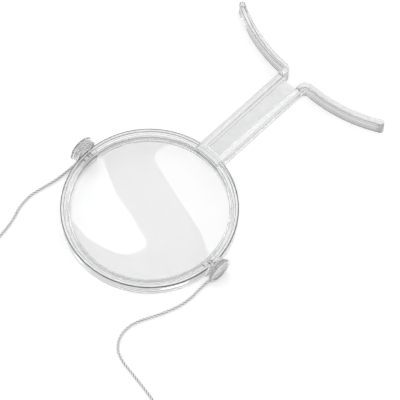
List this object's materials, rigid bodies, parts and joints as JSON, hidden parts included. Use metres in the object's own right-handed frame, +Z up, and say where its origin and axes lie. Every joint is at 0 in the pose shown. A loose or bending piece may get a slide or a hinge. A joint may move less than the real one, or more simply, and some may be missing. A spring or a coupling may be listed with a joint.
{
  "type": "neck magnifier",
  "caption": "Hands-free neck magnifier: large round lens in a clear ring with a channel arm, curved chest legs, cord clamp knobs and a neck cord.",
  "frame": {"origin": "on the table, under the middle of the object's length and width (cord not counted)", "axes": "+Z up, +Y from the lens along the arm to the chest legs, +X to the right-hand clamp knob"},
  "size_m": [0.1717, 0.3268, 0.0185],
  "materials": {
    "clear_frame": "clear moulded acrylic, polished",
    "lens_acrylic": "optically clear acrylic",
    "clear_small": "clear moulded plastic",
    "washer_nylon": "natural nylon",
    "cord_twist": "silvery twisted cord",
    "tie_white": "white band"
  },
  "bodies": {
    "frame": {"lens_ring": "clear_frame", "lens": "lens_acrylic", "retaining_ring": "clear_frame", "chest_stand": "clear_frame", "left_bobbin": "clear_small", "right_bobbin": "clear_small", "left_winding": "cord_twist", "right_winding": "cord_twist", "left_cord": "cord_twist", "right_cord": "cord_twist", "cord_coil": "cord_twist", "coil_tie": "tie_white"},
    "left_clamp": {"left_pressure_washer": "washer_nylon"},
    "right_clamp": {"right_pressure_washer": "washer_nylon"},
    "left_screw": {"left_knob": "clear_small", "left_stud": "clear_small"},
    "right_screw": {"right_knob": "clear_small", "right_stud": "clear_small"}
  },
  "joints": [
    {"name": "left_clamp_travel", "type": "slide", "parent": "frame", "child": "left_clamp", "axis": [-1, 0, 0], "range_m": [0, 0.00075]},
    {"name": "right_clamp_travel", "type": "slide", "parent": "frame", "child": "right_clamp", "axis": [1, 0, 0], "range_m": [0, 0.00075]},
    {"name": "left_knob_turn", "type": "hinge", "parent": "left_clamp", "child": "left_screw", "pos_m": [-0.0632, -0.04855, 0.00925], "axis": [-1, 0, 0], "range_deg": [0, 541]},
    {"name": "right_knob_turn", "type": "hinge", "parent": "right_clamp", "child": "right_screw", "pos_m": [0.0632, -0.04855, 0.00925], "axis": [1, 0, 0], "range_deg": [0, 541]}
  ],
  "couplings": [
    {"joint": "left_knob_turn", "follows": "left_clamp_travel", "rad_per_m": 12566},
    {"joint": "right_knob_turn", "follows": "right_clamp_travel", "rad_per_m": 12566}
  ]
}
